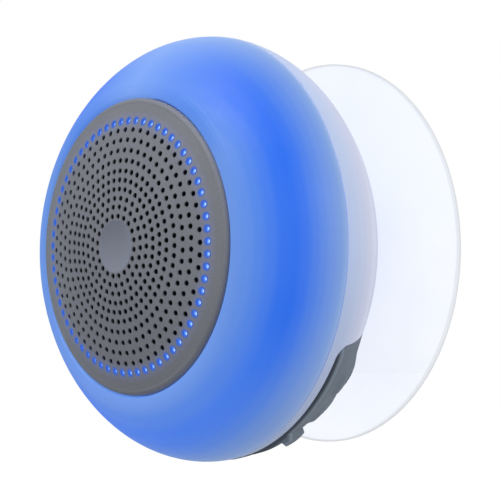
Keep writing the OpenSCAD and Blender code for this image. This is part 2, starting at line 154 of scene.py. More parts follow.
# ---------------------------------------------------------------- mesh helpers
def make_object(name, verts, faces, sharp=38.0):
    """A smooth-shaded mesh, with the edges over the sharp angle kept."""
    me = bpy.data.meshes.new(name)
    points = [tuple(v) for v in np.asarray(verts, float)]
    me.from_pydata(points, [], [tuple(int(i) for i in f) for f in faces])
    me.validate()
    me.polygons.foreach_set("use_smooth", [True] * len(me.polygons))
    me.set_sharp_from_angle(angle=math.radians(sharp))
    ob = bpy.data.objects.new(name, me)
    bpy.context.scene.collection.objects.link(ob)
    return ob


def solid(name, top, bottom, mask):
    """A closed body between two grids of points, over the cells of the mask."""
    ni, nj = top.shape[:2]
    index = {}
    verts, faces = [], []

    def vertex(i, j, low):
        key = (i, j, low)
        if key not in index:
            index[key] = len(verts)
            verts.append(bottom[i, j] if low else top[i, j])
        return index[key]

    def inside(i, j):
        return 0 <= i < ni - 1 and 0 <= j < nj - 1 and mask[i, j]

    beyond = [(0, -1), (1, 0), (0, 1), (-1, 0)]
    for i in range(ni - 1):
        for j in range(nj - 1):
            if not mask[i, j]:
                continue
            ring = [(i, j), (i + 1, j), (i + 1, j + 1), (i, j + 1)]
            faces.append([vertex(*p, False) for p in reversed(ring)])
            faces.append([vertex(*p, True) for p in ring])
            for p, q, (oi, oj) in zip(ring, ring[1:] + ring[:1], beyond):
                if not inside(i + oi, j + oj):
                    side = [(p, False), (q, False), (q, True), (p, True)]
                    faces.append([vertex(*point, low) for point, low in side])
    return make_object(name, verts, faces)


def turned(name, profile, steps, start, end):
    """A section of (radius, y) points, turned from one angle to another round the Y axis."""
    n = len(profile)
    verts, faces = [], []
    for k in range(steps + 1):
        turn = math.radians(start + (end - start) * k / steps)
        for r, y in profile:
            verts.append((r * math.cos(turn) * MM, y * MM + SEAM, r * math.sin(turn) * MM))
    for k in range(steps):
        a = k * n
        b = a + n
        for i in range(n):
            j = (i + 1) % n
            faces.append([a + i, a + j, b + j, b + i])
    faces.append(list(range(n)))
    faces.append([steps * n + i for i in range(n - 1, -1, -1)])
    return make_object(name, verts, faces)


# ---------------------------------------------------------------- material helpers
BLACK = (0.0, 0.0, 0.0, 1.0)


def lin(code):
    """A colour code as linear red, green, blue, alpha."""
    out = []
    for i in (0, 2, 4):
        v = int(code[i:i + 2], 16) / 255
        out.append(((v + 0.055) / 1.055) ** 2.4 if v > 0.04045 else v / 12.92)
    return (*out, 1.0)


def shade(colour, k):
    """A linear colour made k times as bright."""
    return tuple(min(1.0, c * k) for c in colour[:3]) + (1.0,)


class Tree:
    """One material, with short words for its nodes. Texture scales are per metre."""

    def __init__(self, name):
        self.name = name
        self.material = bpy.data.materials.new("look_" + name)
        self.material.use_nodes = True
        self.tree = self.material.node_tree
        self.tree.nodes.clear()
        self.out = self.add("ShaderNodeOutputMaterial")
        self.shader = self.add("ShaderNodeBsdfPrincipled")
        self.put(self.out.inputs[0], self.shader.outputs[0])
        self.place = self.add("ShaderNodeTexCoord").outputs["Object"]

    def put(self, socket, value):
        """Links a socket to another, or gives it a plain value."""
        if isinstance(value, bpy.types.NodeSocket):
            self.tree.links.new(value, socket)
        else:
            socket.default_value = value

    def add(self, kind, props=None, **inputs):
        """A node, its inputs given by name with _ for a space, or by number as i0, i1."""
        node = self.tree.nodes.new(kind)
        for key, value in (props or {}).items():
            setattr(node, key, value)
        for key, value in inputs.items():
            numbered = key[0] == "i" and key[1:].isdigit()
            socket = int(key[1:]) if numbered else key.replace("_", " ")
            self.put(node.inputs[socket], value)
        return node

    def set(self, **inputs):
        """Sets the main shader's inputs by name, with _ for a space."""
        for key, value in inputs.items():
            self.put(self.shader.inputs[key.replace("_", " ")], value)

    def calc(self, operation, a, b=0.0):
        return self.add("ShaderNodeMath", {"operation": operation}, i0=a, i1=b).outputs[0]

    def plus(self, a, b):
        return self.calc("ADD", a, b)

    def minus(self, a, b):
        return self.calc("SUBTRACT", a, b)

    def times(self, a, b):
        return self.calc("MULTIPLY", a, b)

    def xyz(self):
        """The place in the object, in metres."""
        return self.add("ShaderNodeSeparateXYZ", Vector=self.place).outputs[:3]

    def scaled(self, x, y, z):
        return self.add("ShaderNodeVectorMath", {"operation": "MULTIPLY"},
            i0=self.place, i1=(x, y, z)).outputs[0]

    def noise(self, scale, detail=3.0, rough=0.55, vector=None):
        return self.add("ShaderNodeTexNoise", Vector=vector or self.place,
            Scale=scale, Detail=detail, Roughness=rough).outputs["Fac"]

    def voronoi(self, scale, vector=None, feature="F1"):
        return self.add("ShaderNodeTexVoronoi", {"feature": feature},
            Vector=vector or self.place, Scale=scale).outputs["Distance"]

    def range(self, value, a, b, c=0.0, d=1.0, how="LINEAR"):
        """Maps a value from between a and b to between c and d, and no further."""
        return self.add("ShaderNodeMapRange", {"interpolation_type": how, "clamp": True},
            i0=value, i1=a, i2=b, i3=c, i4=d).outputs[0]

    def spread(self, noise, low=0.0, high=1.0):
        """Stretches the usual reach of a noise."""
        return self.range(noise, 0.3, 0.7, low, high)

    def ramp(self, value, stops):
        """A colour ramp with eased steps, from (place, colour code) pairs."""
        node = self.add("ShaderNodeValToRGB", Fac=value)
        ramp = node.color_ramp
        ramp.interpolation = "EASE"
        while len(ramp.elements) < len(stops):
            ramp.elements.new(0.5)
        for element, (place, code) in zip(ramp.elements, stops):
            element.position = place
            element.color = lin(code)
        return node.outputs[0]

    def mix(self, factor, a, b):
        node = self.add("ShaderNodeMix", {"data_type": "RGBA"}, i0=factor, i6=a, i7=b)
        return node.outputs[2]

    def bump(self, height, strength, distance):
        """Adds relief, its distance in metres, and returns the finished tree."""
        node = self.add("ShaderNodeBump", Strength=strength, Distance=distance, Height=height)
        self.put(self.shader.inputs["Normal"], node.outputs[0])
        return self


def local_y(t):
    """Distance in millimetres from the seam."""
    _, y, _ = t.xyz()
    return t.times(t.minus(y, SEAM), 1000.0)


def polar(t):
    """Radius in millimetres and the sine of the polar angle round the Y axis."""
    x, _, z = t.xyz()
    r = t.calc("SQRT", t.plus(t.times(x, x), t.times(z, z)))
    return t.times(r, 1000.0), t.calc("DIVIDE", z, t.calc("MAXIMUM", r, 1e-5))


# ---------------------------------------------------------------- materials of one kind
def moulded(name, code, rough, grain, bump, vary=0.06, **more):
    """Moulded plastic or rubber: fine spark-eroded grain, slow tone changes, rubbed spots."""
    t = Tree(name)
    colour = lin(code)
    slow = t.noise(38.0)
    fine = t.noise(grain, 2.0, 0.6)
    base = t.mix(t.spread(slow), shade(colour, 1 - vary), shade(colour, 1 + vary))
    base = t.mix(t.range(fine, 0.35, 0.65, 0, 0.5), base, shade(colour, 0.9))
    rub = t.noise(420.0, 4.0, 0.7)
    t.set(Base_Color=base, Roughness=t.spread(rub, rough - 0.06, rough + 0.08), **more)
    return t.bump(fine, bump, 0.00006)


def metal(name, code, rough, axis=(1, 1, 40), bump=0.1, spots=0.08):
    """Turned or rolled metal: fine lines one way, a few duller stains."""
    t = Tree(name)
    colour = lin(code)
    lines = t.noise(900.0, 3.0, 0.6, t.scaled(*axis))
    stain = t.noise(160.0, 4.0, 0.65)
    base = t.mix(t.spread(lines), shade(colour, 0.88), shade(colour, 1.08))
    base = t.mix(t.range(stain, 0.55, 0.75, 0, spots * 3), base, shade(colour, 0.6))
    t.set(Base_Color=base, Metallic=1.0, Roughness=t.spread(stain, rough - 0.08, rough + 0.14))
    return t.bump(lines, bump, 0.00004)


def woven(name, dark, light, pitch, bump):
    """Plain weave: threads over and under along X and Z, the pitch in metres, with painted shade where the
    threads dip.
    """
    t = Tree(name)
    x, _, z = t.xyz()
    k = 2 * math.pi / pitch
    cloth = t.times(t.calc("SINE", t.times(x, k)), t.calc("SINE", t.times(z, k)))
    fray = t.noise(5200.0, 2.0)
    height = t.plus(t.times(cloth, 0.5), t.times(fray, 0.4))
    # painted shade: darker where the threads dip and lighter where they rise, with random tone from the
    # fray
    base = t.mix(t.range(height, -0.4, 0.7), lin(dark), lin(light))
    t.set(Base_Color=base, Roughness=t.spread(fray, 0.77, 0.93))
    return t.bump(height, bump, pitch * 0.2)


def silicone(name, base, light, dark):
    """Soft slate silicone: dusty, with painted shade in the groove and on the underside, and a painted
    highlight on the bead along the strip's front edge.
    """
    t = Tree(name)
    light = lin(light)
    dark = lin(dark)
    y = local_y(t)
    _, sine = polar(t)
    slow = t.noise(55.0)
    fine = t.noise(2600.0, 2.0, 0.6)
    dust = t.noise(700.0, 4.0, 0.7)
    colour = t.mix(t.spread(slow), lin(base), light)
    colour = t.mix(t.range(fine, 0.4, 0.7, 0, 0.45), colour, dark)
    colour = t.mix(t.range(dust, 0.62, 0.8, 0, 0.25), colour, shade(light, 1.3))
    # painted shade gathers in the groove along the front edge
    colour = t.mix(t.range(y, 4.5, 4.25, 0.0, 0.66), colour, shade(dark, 0.3))
    # painted shade: the lowest part, which faces down away from the light, is darker
    colour = t.mix(t.range(sine, -0.91, -0.985, 0.0, 0.4), colour, shade(dark, 0.62))
    # painted highlight: light catches the bead behind the groove
    bead = t.times(t.range(y, 4.75, 4.95), t.range(y, 5.5, 5.25))
    colour = t.mix(t.times(bead, 0.8), colour, shade(light, 1.35))
    t.set(Base_Color=colour, Roughness=t.spread(dust, 0.5, 0.66), Sheen_Weight=0.15,
        Sheen_Roughness=0.4, Specular_IOR_Level=0.3)
    return t.bump(fine, 0.1, 0.00005)


def board(name, mask, trace, pitch):
    """Circuit board: solder mask with darker weave, tracks and tinned pads."""
    t = Tree(name)
    mask = lin(mask)
    flat = t.scaled(1, 0.1, 1)
    lines = t.range(t.voronoi(pitch, flat, "DISTANCE_TO_EDGE"), 0.03, 0.06, 1.0, 0.0)
    pads = t.range(t.voronoi(pitch * 1.7, flat), 0.1, 0.14, 1.0, 0.0)
    weave = t.noise(4200.0, 2.0)
    base = t.mix(t.range(weave, 0.35, 0.65), mask, shade(mask, 0.8))
    base = t.mix(t.times(lines, 0.7), base, lin(trace))
    base = t.mix(pads, base, lin("C9C8C0"))
    t.set(Base_Color=base, Metallic=t.times(pads, 0.9), Roughness=t.spread(weave, 0.28, 0.42))
    return t.bump(t.plus(lines, t.times(pads, 2.0)), 0.3, 0.00004)


# ---------------------------------------------------------------- materials of one part
def lit_diffuser():
    """Milky plastic lit from inside: the glow runs from the grille to the seam and changes with height,
    with painted light making the top paler and painted shade making the underside greyer.
    """
    t = Tree("lit_diffuser")
    _, sine = polar(t)
    rise = t.calc("ARCSINE", sine)
    place = t.range(local_y(t), DIFFUSER_FRONT, 0.0)
    # towards the top the gradient moves forward, by less near the seam
    ahead = t.times(t.range(rise, 0.52, 1.31, 0.0, 0.24), t.minus(1.0, place))
    place = t.plus(place, ahead)
    middle = t.ramp(place, [
        (0.0, "6E9AEA"), (0.10, "6292EC"), (0.17, "548AEE"), (0.26, "457FF2"), (0.35, "2E74F4"),
        (0.45, "2A71F4"), (0.54, "3877F3"), (0.63, "4F83EE"), (0.72, "608EEA"), (0.81, "7197E7"),
        (0.91, "7EA2E4"), (0.96, "8AABE2"), (1.0, "A2B9E4")])
    # painted light: the top's ramp is paler than the middle's
    crown = t.ramp(place, [
        (0.0, "7DA6F4"), (0.15, "7CA7F7"), (0.35, "81ABF8"), (0.6, "8BB1F8"), (0.85, "9BBBF6"),
        (1.0, "B0C9F4")])
    # painted shade: the underside's ramp is greyer towards the seam
    under = t.ramp(place, [
        (0.0, "74A0F2"), (0.15, "598DF3"), (0.3, "4883F6"), (0.42, "4C83F1"), (0.55, "5989E7"),
        (0.7, "6D93DC"), (0.85, "7C9BD4"), (0.95, "87A2D3"), (1.0, "9CAED4")])
    glow = t.mix(t.range(rise, 0.78, 1.7, 0, 1, "SMOOTHSTEP"), middle, crown)
    glow = t.mix(t.range(sine, -0.25, -0.95, 0, 1, "SMOOTHSTEP"), glow, under)
    cloud = t.noise(46.0, 2.0, 0.5)
    glow = t.mix(t.range(cloud, 0.35, 0.65, 0.0, 0.06), glow, lin("7FA6F2"))
    fine = t.noise(3400.0, 2.0, 0.6)
    rub = t.noise(300.0, 3.0, 0.7)
    t.set(Base_Color=t.mix(0.28, BLACK, glow), Roughness=t.spread(rub, 0.4, 0.5),
        Emission_Color=glow, Emission_Strength=0.71, Specular_IOR_Level=0.22)
    return t.bump(fine, 0.05, 0.00004)


def pearl_shell():
    """Pale lavender-grey plastic with a painted glow: blue light that spills over the seam from the
    diffuser, grey further back. Painted shade darkens it near the seam, above and below.
    """
    t = Tree("pearl_shell")
    y = local_y(t)
    _, sine = polar(t)
    slow = t.noise(30.0, 2.0)
    fine = t.noise(3000.0, 2.0, 0.6)
    base = t.mix(t.spread(slow), lin("C9CCDF"), lin("D2D4E5"))
    base = t.mix(t.range(fine, 0.35, 0.65, 0, 0.3), base, lin("C2C5DA"))
    # painted shade: darker near the seam, both above and below
    top = t.times(t.range(sine, 0.0, 0.5), t.range(y, 7.0, 0.5))
    under = t.times(t.range(sine, -0.05, -0.65), t.range(y, 12.0, 3.0))
    base = t.mix(t.plus(t.times(top, 0.14), t.times(under, 0.1)), base, BLACK)
    # painted glow: blue near the seam, grey further back
    painted_glow = t.ramp(t.range(y, 0.0, 28.0), [
        (0.0, "365F8C"), (0.11, "4F6A8A"), (0.21, "66748B"), (0.32, "787D8E"), (0.43, "8A8F9B"),
        (0.62, "7C808C"), (1.0, "4A4D57")])
    # painted shade: the glow is weaker on the underside
    painted_glow = t.mix(t.times(under, 0.35), painted_glow, BLACK)
    rub = t.noise(260.0, 3.0, 0.7)
    t.set(Base_Color=base, Roughness=t.spread(rub, 0.36, 0.48), Emission_Color=painted_glow,
        Emission_Strength=1.0, Specular_IOR_Level=0.35)
    return t.bump(fine, 0.05, 0.00004)


def lit_dot_distance(t, r):
    """Distance in millimetres from the nearest lit dot of the ring."""
    x, _, z = t.xyz()
    turn = t.times(t.calc("ARCTAN2", z, x), LIT_COUNT / (2 * math.pi))
    # the half puts dots at whole turns, and the 200 keeps the value over zero
    part = t.minus(t.calc("FRACT", t.plus(turn, 200.5)), 0.5)
    side = t.times(part, 2 * math.pi * LIT_R / LIT_COUNT)
    off = t.minus(r, LIT_R)
    return t.calc("SQRT", t.plus(t.times(side, side), t.times(off, off)))


def grille_depth(t, r):
    """How far below the grille's domed front a point lies, in millimetres."""
    sag = t.minus(DOME_R, t.calc("SQRT", t.minus(DOME_R ** 2, t.times(r, r))))
    return t.minus(local_y(t), t.plus(sag, DOME_TOP))


def grille_grey():
    """Grey moulded grille: painted shade inside the holes, a bluer dimple, and a painted blue glow round
    the lit dots.
    """
    t = Tree("grille_grey")
    r, _ = polar(t)
    dot = lit_dot_distance(t, r)
    depth = grille_depth(t, r)
    slow = t.noise(34.0)
    fine = t.noise(2300.0, 3.0, 0.65)
    base = t.mix(t.spread(slow), lin("80828A"), lin("898B93"))
    base = t.mix(t.range(fine, 0.35, 0.65, 0, 0.6), base, lin("777982"))
    dimple = t.range(r, DIMPLE_R + 0.4, DIMPLE_R)
    base = t.mix(t.times(dimple, 0.35), base, lin("8C95AC"))
    # painted shade: the sides of the holes get darker with depth, between the dimple and the outermost
    # ring
    deep = t.range(depth, 0.12, 0.55, 0.0, 1.0, "SMOOTHSTEP")
    hole_shade = t.times(t.times(deep, t.range(r, 31.5, 31.0)), t.range(r, DIMPLE_R, DIMPLE_R + 0.3))
    base = t.mix(hole_shade, base, lin("141518"))
    # painted glow: blue light from each lit dot on the grey round it, and a faint halo further out
    blue = t.range(dot, 0.72, 1.18, 1.0, 0.0, "SMOOTHSTEP")
    painted_halo = t.range(dot, 0.9, 2.6, 0.16, 0.0, "SMOOTHSTEP")
    base = t.mix(blue, base, lin("16306E"))
    glow = t.mix(t.calc("MAXIMUM", blue, painted_halo), BLACK, lin("3A66C8"))
    rub = t.noise(240.0, 3.0, 0.7)
    t.set(Base_Color=base, Roughness=t.spread(rub, 0.5, 0.62), Emission_Color=glow,
        Emission_Strength=0.8, Specular_IOR_Level=0.35,
        Sheen_Weight=0.5, Sheen_Roughness=0.3, Sheen_Tint=(0.5, 0.8, 1.0, 1.0))
    return t.bump(fine, 0.22, 0.00007)


def lit_guide():
    """The clear light guide: each dot is white in the middle and blue at its edge."""
    t = Tree("lit_guide")
    r, _ = polar(t)
    uneven = t.noise(900.0, 2.0)
    dot = t.plus(lit_dot_distance(t, r), t.times(uneven, 0.1))
    core = t.ramp(t.range(dot, 0.0, 0.62), [
        (0.0, "E8F6FF"), (0.32, "A9CDFF"), (0.6, "4F8BF6"), (1.0, "3366D0")])
    t.set(Base_Color=(0.25, 0.35, 0.6, 1), Roughness=0.25, Emission_Color=core,
        Emission_Strength=1.05)
    return t.bump(uneven, 0.1, 0.00005)


def clear_pvc():
    """Clear soft plastic: a faint film in the middle, denser at the rim and the neck, with a painted blue
    glow.
    """
    t = Tree("clear_pvc")
    r, sine = polar(t)
    flow = t.noise(60.0)
    fine = t.noise(700.0, 3.0, 0.5)
    tint = t.mix(t.range(flow, 0.35, 0.65), lin("C9D6F6"), lin("D2DCF8"))
    tint = t.mix(t.range(sine, -0.1, 0.9, 0.0, 0.8), tint, lin("9DB6F0"))
    rim = t.range(r, CUP_R - 0.75, CUP_R - 0.15, 0.0, 1.0, "SMOOTHSTEP")
    neck = t.range(r, 12.5, 10.5, 0.0, 1.0, "SMOOTHSTEP")
    colour = t.mix(neck, t.mix(rim, tint, lin("9BA4B0")), lin("CFD9E6"))
    film = t.plus(t.range(r, 24.0, 43.0, 0.15, 0.085), t.spread(flow, -0.02, 0.02))
    thick = t.plus(t.plus(film, t.times(rim, 0.15)), t.times(neck, 0.25))
    # painted glow: blue light picked up from the lit shell, weaker at the rim and none at the neck
    glow = t.mix(t.range(r, 14.0, 24.0), BLACK, (0.09, 0.21, 0.46, 1.0))
    glow = t.mix(rim, glow, (0.05, 0.06, 0.07, 1.0))
    t.set(Base_Color=colour, Roughness=t.spread(fine, 0.06, 0.14), Alpha=thick,
        Emission_Color=glow, Emission_Strength=1.0, IOR=1.4, Specular_IOR_Level=0.25)
    return t.bump(fine, 0.03, 0.00005)


def copper_coil():
    """Wound wire: fine even turns along the Y axis, with painted shade in the grooves between them."""
    t = Tree("copper_coil")
    colour = lin("C9784A")
    wire = 0.00018  # in metres
    _, y, _ = t.xyz()
    turns = t.calc("SINE", t.times(y, 2 * math.pi / wire))
    wear = t.noise(700.0)
    # painted shade in the grooves between the turns, painted light on their tops
    base = t.mix(t.range(turns, -1, 1), shade(colour, 0.55), shade(colour, 1.1))
    t.set(Base_Color=base, Metallic=0.9, Roughness=t.spread(wear, 0.25, 0.4))
    return t.bump(turns, 0.6, 0.00005)


def cone_paper():
    """Pressed paper: short fibres and faint pressing rings."""
    t = Tree("cone_paper")
    r, _ = polar(t)
    rings = t.calc("SINE", t.times(r, 9.0))
    fibre = t.noise(2400.0, 5.0, 0.75, t.scaled(1, 3, 0.4))
    base = t.mix(t.spread(fibre), lin("141416"), lin("2B2B2E"))
    t.set(Base_Color=base, Roughness=t.spread(fibre, 0.7, 0.9))
    return t.bump(t.plus(t.times(rings, 0.4), fibre), 0.4, 0.00008)


def lamp():
    """A small lit lamp: warm phosphor at each cell's middle, blue at its edge."""
    t = Tree("lamp")
    face = t.voronoi(600.0)
    t.set(Base_Color=t.mix(t.range(face, 0.0, 0.5), lin("FFF7D8"), lin("E8EEFF")), Roughness=0.3,
        Emission_Color=t.mix(t.range(face, 0.1, 0.5), lin("FFFFFF"), lin("AFC8FF")),
        Emission_Strength=2.0)
    return t.bump(face, 0.2, 0.0001)


LOOKS = {look.name: look.material for look in (
    lit_diffuser(),
    pearl_shell(),
    grille_grey(),
    lit_guide(),
    clear_pvc(),
    copper_coil(),
    cone_paper(),
    lamp(),
    silicone("slate_silicone", "7A8693", "84909C", "6B7683"),
    silicone("slate_key", "7C8895", "86929E", "6E7986"),
    # colour, roughness, grain, relief, and how much the tone varies
    # the seal gets a painted glow, as if lit by the shells on each side
    moulded("seal_rubber", "A3ABCF", 0.6, 3000.0, 0.1,
        Emission_Color=lin("9BA3CC"), Emission_Strength=0.52),
    moulded("grey_acetal", "BBBFC8", 0.35, 1800.0, 0.06),
    moulded("black_plastic", "2A2A2C", 0.45, 2200.0, 0.2),
    moulded("black_foam", "262628", 0.95, 1500.0, 0.8, 0.2),
    moulded("basket_steel", "46484C", 0.4, 3000.0, 0.25),
    moulded("ferrite", "2E2E31", 0.7, 1200.0, 0.5, 0.15),
    moulded("surround_rubber", "1E1E20", 0.6, 2500.0, 0.15),
    moulded("chip_black", "27272A", 0.5, 2400.0, 0.3),
    moulded("red_lead", "B01E1A", 0.42, 2600.0, 0.08),
    moulded("black_lead", "232325", 0.42, 2600.0, 0.08),
    moulded("ribbon_film", "C9812F", 0.28, 1400.0, 0.08, 0.12),
    # colour, roughness, stretch of the lines, relief, stains
    metal("zinc_steel", "CFD2D6", 0.3),
    metal("brass_contact", "E0BE6A", 0.26, (1, 30, 1)),
    metal("battery_foil", "C4C7CB", 0.34, (6, 6, 6), 0.25, 0.12),
    # colour in the weave's painted shade, colour on its tops, pitch in metres, relief
    woven("black_mesh", "0C0C0E", "2A2A2E", 0.0003, 0.6),
    woven("spider_cloth", "A8803A", "DDBB74", 0.0005, 0.7),
    # solder mask, tracks, cells per metre
    board("white_board", "E6E8E4", "CFD2CC", 320.0),
    board("green_board", "1B6A44", "3E9468", 420.0),
)}

for ob in nodes.values():
    for slot in ob.material_slots:
        look = slot.material.name.split(".")[0] if slot.material else None
        if look in LOOKS:
            slot.material = LOOKS[look]


def paint(ob, slot_name):
    """Gives a new piece its material, in a new slot."""
    ob.data.materials.append(LOOKS[slot_name])
    return ob


# ---------------------------------------------------------------- control strip
STRIP_HALF = 61.2  # angle from the middle to each end
STRIP_R = 47.0  # radius that turns its angles into lengths
STRIP_FRONT = 3.2
STRIP_REAR = 20.05
STRIP_CORNER = 2.9
FLANGE = 0.95  # width of the low border along the front edge
EDGE_SINK = 0.55  # how far the strip's edges end below the shell's surface

# a key's outline, its height over the shell, and the extra height of its domed top
KEY_BOX = (3.75, 4.55, 2.4)
KEY_HEIGHT = 1.42
KEY_DOME = 0.16
END_KEYS = 40.0  # keys further round than this are next to the strip's ends
# the patch of silicone round a key, built as a piece of its own
KEY_PATCH = (4.9, 5.4, 3.2)

# the port's lid, the gap round it, and the microphone's hole
LID_BOX = (7.2, 3.2, 1.5)
LID_GAP = 0.3
MIC_R = 0.6


def key_offset(angle, y, at):
    """Place on the surface relative to a key, in millimetres round and along the body."""
    return np.radians(angle - at) * shell_r(y), along(y) - along(KEY_Y)


def port_offset(angle, y, at):
    """Place relative to a point at the port's y, in millimetres round and along the body."""
    return np.radians(angle - at) * shell_r(PORT_Y), along(y) - along(PORT_Y)


def strip_end(angle):
    """Distance from the strip's nearer end."""
    return np.radians(STRIP_HALF - np.abs(angle)) * STRIP_R


def strip_edges(angle):
    """Lengths from the seam to the strip's front and rear edges."""
    cut = corner_cut(strip_end(angle), STRIP_CORNER)
    return along(STRIP_FRONT) + cut, along(STRIP_REAR) - cut


def key_rise(angle, y, at):
    """How much of a key's height applies, and how much of its dome."""
    t, s = key_offset(angle, y, at)
    t = -t if at < 0 else t
    if abs(at) > END_KEYS:
        # the outermost keys swell slowly out of the strip's end
        t = t + 0.8
        rise = smooth(0.85, -1.05, round_box(np.minimum(t, 0), s, *KEY_BOX))
        rise = rise * smooth(2.0, -2.6, t - KEY_BOX[0])
    else:
        t = t + 0.35 if at else t
        rise = smooth(0.85, -1.05, round_box(t, s, *KEY_BOX))
    return rise, np.clip(1 - (t / 4.0) ** 2 - (s / 4.8) ** 2, 0, 1)


def strip_height(angle, y):
    """Height of the silicone over the shell."""
    s = along(y)
    front, rear = strip_edges(angle)
    end = strip_end(angle)
    from_front = s - front - FLANGE
    from_rear = rear - s
    # the strip swells from the flange to its full height, more slowly in the middle
    middle = smooth(22, 12, np.abs(angle))
    swell = 0.34 + 0.14 * smooth(42, 32, np.abs(angle))
    body = 0.30 + swell * smooth(1.4 + 2.4 * middle, 5.0 + 3 * middle, from_front)
    body = body * smooth(-1.0, 9.0, end) * (0.35 + 0.65 * smooth(0.0, 4.0, from_rear))
    # the bead behind the groove fades out before the lid's hinge end
    bead = 0.27 * np.exp(-((from_front - 1.0) / 0.34) ** 2) * smooth(0.0, 4.0, end)
    bead = bead * (1 - smooth(4.0, 12.0, angle) * (angle < PORT_AT))
    h = body + bead
    for at in KEYS.values():
        rise, dome = key_rise(angle, y, at)
        h = h + rise * (KEY_HEIGHT - h) + rise * KEY_DOME * dome
    edge = edge_fall(np.minimum(from_rear, end), 0.5)
    wall = edge_fall(from_front, 0.32)
    return h - np.maximum(edge, wall) * (h + EDGE_SINK)


def key_field(at):
    """The distance outside a key's patch, as a function of angle and y."""
    return lambda angle, y: round_box(*key_offset(angle, y, at), *KEY_PATCH)


def port_field(angle, y):
    """Distance outside the opening for the port's lid."""
    opening = [size + LID_GAP for size in LID_BOX]
    return round_box(*port_offset(angle, y, PORT_AT), *opening)


def mic_field(angle, y):
    """Distance outside the microphone's hole."""
    return np.hypot(*port_offset(angle, y, MIC_AT)) - MIC_R


def outline_points(inside):
    """The grid points between cells inside and outside a region, away from the strip's edges."""
    pad = np.pad(inside, 1)
    cells = [pad[:-1, :-1], pad[1:, :-1], pad[:-1, 1:], pad[1:, 1:]]
    border = np.logical_or.reduce(cells) & ~np.logical_and.reduce(cells)
    border[:, :4] = False
    border[:, -4:] = False
    return border


def onto_outline(field, angle, y):
    """Moves points onto the line where a field is zero."""
    step = 0.02
    for _ in range(3):
        distance = field(angle, y)
        slope_a = (field(angle + step, y) - field(angle - step, y)) / (2 * step)
        slope_y = (field(angle, y + step) - field(angle, y - step)) / (2 * step)
        # lengths on the surface of one degree and of one millimetre of y
        unit_a = np.radians(1) * shell_r(y)
        unit_y = 1 / np.cos(lean(y))
        steep = np.maximum((slope_a / unit_a) ** 2 + (slope_y / unit_y) ** 2, 1e-9)
        angle = angle - distance * slope_a / unit_a ** 2 / steep
        y = y - distance * slope_y / unit_y ** 2 / steep
    return angle, y


def build_strip():
    """The silicone strip with openings for the port and microphone, and a soft patch for each key."""
    angles = corner_steps(STRIP_HALF, math.degrees(STRIP_CORNER / STRIP_R), 9, 391)
    front, rear = strip_edges(angles)
    # rows are closer together at the groove, the bead and the rear edge
    deep = along(STRIP_REAR) - along(STRIP_FRONT)
    rows = np.concatenate([
        [0, 0.3, 0.58, 0.68, 0.73, 0.79, 0.86, 0.94, 1.04, 1.2, 1.4, 1.65, 1.9, 2.2],
        np.linspace(2.5, deep - 0.6, 52),
        [deep - 0.36, deep - 0.18, deep - 0.06, deep]]) / deep
    A = np.repeat(angles[:, None], len(rows), 1)
    Y = y_at(front[:, None] + (rear - front)[:, None] * rows[None, :])

    fields = {name: key_field(at) for name, at in KEYS.items()}
    fields["port"] = port_field
    fields["mic"] = mic_field
    cells = {}
    taken = np.zeros((len(angles) - 1, len(rows) - 1), bool)
    for name, field in fields.items():
        centre_a = (A[:-1, :-1] + A[1:, 1:]) / 2
        centre_y = (Y[:-1, :-1] + Y[1:, 1:]) / 2
        cells[name] = (field(centre_a, centre_y) < 0) & ~taken
        taken |= cells[name]
        border = outline_points(cells[name])
        A[border], Y[border] = onto_outline(field, A[border], Y[border])

    height = strip_height(A, Y)
    top = over(A, Y, height)
    strip_base = over(A, Y, np.minimum(height - 0.3, -1.8))
    key_base = over(A, Y, np.minimum(height - 0.5, -1.0))
    strip = paint(solid("strip_silicone", top, strip_base, ~taken), "slate_silicone")
    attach(strip, "housing")
    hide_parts("control_strip")
    for name, at in KEYS.items():
        key = paint(solid(name + "_bump", top, key_base, cells[name]), "slate_key")
        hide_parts(name)
        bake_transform(key)


# ---------------------------------------------------------------- signs on the keys
SIGN_RISE = 0.09  # over the key's surface
SIGN_SINK = 0.25  # below it


def bar(t0, t1, s0, s1):
    return [(t0, s0), (t1, s0), (t1, s1), (t0, s1)]


def arrow(t0, t1, half):
    return [(t0, -half), (t1, 0.0), (t0, half)]


def disc(r, n=20):
    turns = [2 * math.pi * k / n for k in range(n)]
    return [(r * math.cos(a), r * math.sin(a)) for a in turns]


def spoke(turn, r0, r1, half=0.13):
    c, s = math.cos(math.radians(turn)), math.sin(math.radians(turn))
    return [(c * a - s * b, s * a + c * b) for a, b in bar(r0, r1, -half, half)]


def receiver():
    """A handset: an arch between two square ends."""
    foot = -0.75

    def arc(r, first, last, step):
        turns = [math.radians(a) for a in range(first, last, step)]
        return [(r * math.cos(a), r * math.sin(a) + foot) for a in turns]

    outside = arc(1.55, 20, 161, 14)
    inside = arc(0.85, 160, 19, -14)
    return outside + [(-1.75, foot), (-0.95, foot)] + inside + [(0.95, foot), (1.75, foot)]


SIGNS = {
    "key_play": [arrow(-1.5, 0.35, 1.1), bar(0.65, 0.98, -1.1, 1.1), bar(1.3, 1.63, -1.1, 1.1)],
    "key_next": [arrow(-1.5, 0.0, 0.95), arrow(0.0, 1.5, 0.95), bar(1.5, 1.8, -0.95, 0.95)],
    "key_previous": [arrow(1.5, 0.0, 0.95), arrow(0.0, -1.5, 0.95), bar(-1.8, -1.5, -0.95, 0.95)],
    "key_light": [disc(0.75)] + [spoke(45 * k, 1.1, 1.65) for k in range(8)],
    "key_call": [receiver()],
}


